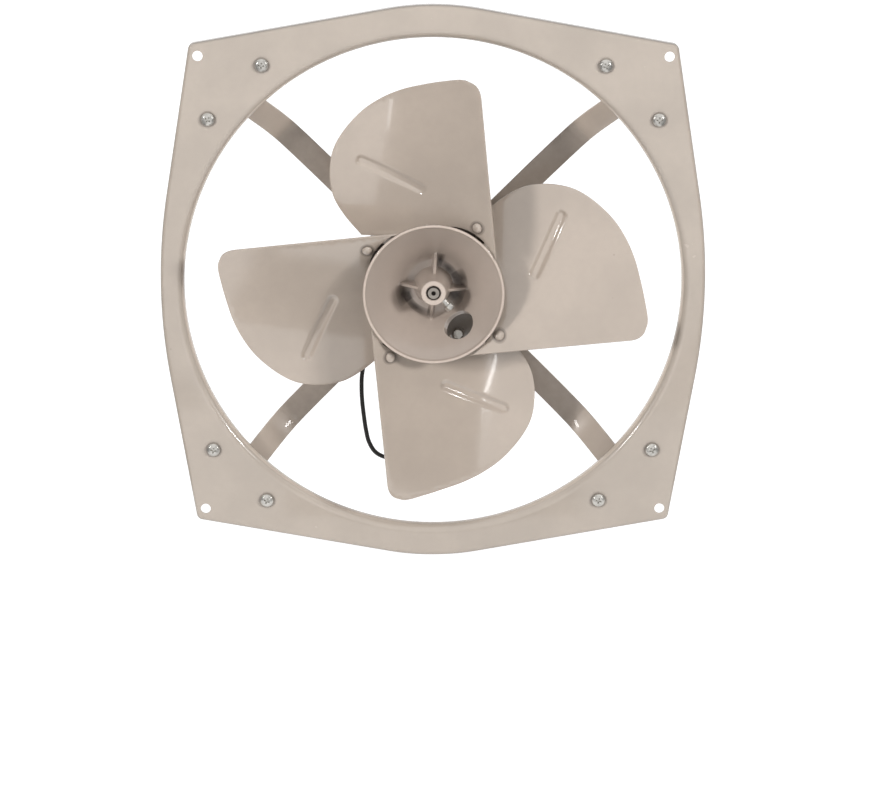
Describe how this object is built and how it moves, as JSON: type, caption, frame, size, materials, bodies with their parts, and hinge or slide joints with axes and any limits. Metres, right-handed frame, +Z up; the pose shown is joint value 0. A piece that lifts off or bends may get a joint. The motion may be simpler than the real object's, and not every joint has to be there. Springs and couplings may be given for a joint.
{
  "type": "industrial exhaust fan",
  "caption": "Square pressed-steel frame with a round opening, flat-bar arms to a motor behind it, and a wide-bladed sheet fan on a cast conical hub",
  "frame": {"origin": "centre of the round opening, on the front face of the frame plate", "axes": "+X to the right seen from the front, +Y along the shaft from the front to the back, +Z up"},
  "size_m": [0.4828, 0.1597, 0.4988],
  "materials": {
    "frame_paint": "gloss stone-grey enamel",
    "blade_paint": "gloss stone-grey enamel",
    "hub_paint": "gloss stone-grey enamel over a cast surface",
    "bar_paint": "stone-grey enamel",
    "motor_paint": "satin grey-brown enamel over castings",
    "zinc_steel": "bright zinc plate",
    "bearing_steel": "ground steel",
    "lamination": "bare laminated steel",
    "winding_copper": "varnished copper wire",
    "black_plastic": "matt black",
    "black_rubber": "matt black",
    "can_aluminium": "drawn can"
  },
  "bodies": {
    "frame": {"frame_plate": "frame_paint", "arm_1": "bar_paint", "arm_2": "bar_paint", "arm_3": "bar_paint", "arm_4": "bar_paint", "frame_screw_1": "zinc_steel", "frame_screw_2": "zinc_steel", "frame_screw_3": "zinc_steel", "frame_screw_4": "zinc_steel", "frame_screw_5": "zinc_steel", "frame_screw_6": "zinc_steel", "frame_screw_7": "zinc_steel", "frame_screw_8": "zinc_steel", "arm_bolt_1": "zinc_steel", "arm_bolt_2": "zinc_steel", "arm_bolt_3": "zinc_steel", "arm_bolt_4": "zinc_steel", "front_end_shield": "motor_paint", "motor_housing": "motor_paint", "rear_end_shield": "motor_paint", "through_bolt_1": "zinc_steel", "through_bolt_2": "zinc_steel", "through_bolt_3": "zinc_steel", "through_bolt_4": "zinc_steel", "stator_core": "lamination", "stator_winding": "winding_copper", "front_bearing_outer": "bearing_steel", "rear_bearing_outer": "bearing_steel", "cable_gland": "black_plastic", "motor_lead": "black_rubber", "capacitor": "can_aluminium", "capacitor_clamp": "zinc_steel", "clamp_screw": "zinc_steel", "capacitor_boot": "black_rubber"},
    "rotor": {"shaft": "bearing_steel", "rotor_core": "lamination", "front_bearing_inner": "bearing_steel", "rear_bearing_inner": "bearing_steel", "hub": "hub_paint", "set_screw": "zinc_steel", "blade_1": "blade_paint", "blade_2": "blade_paint", "blade_3": "blade_paint", "blade_4": "blade_paint", "blade_rivet_1": "blade_paint", "blade_rivet_2": "blade_paint", "blade_rivet_3": "blade_paint", "blade_rivet_4": "blade_paint", "blade_rivet_5": "blade_paint", "blade_rivet_6": "blade_paint", "blade_rivet_7": "blade_paint", "blade_rivet_8": "blade_paint"}
  },
  "joints": [
    {"name": "rotor_spin", "type": "hinge", "parent": "frame", "child": "rotor", "pos_m": [0, 0, 0], "axis": [0, 1, 0], "continuous": true}
  ]
}
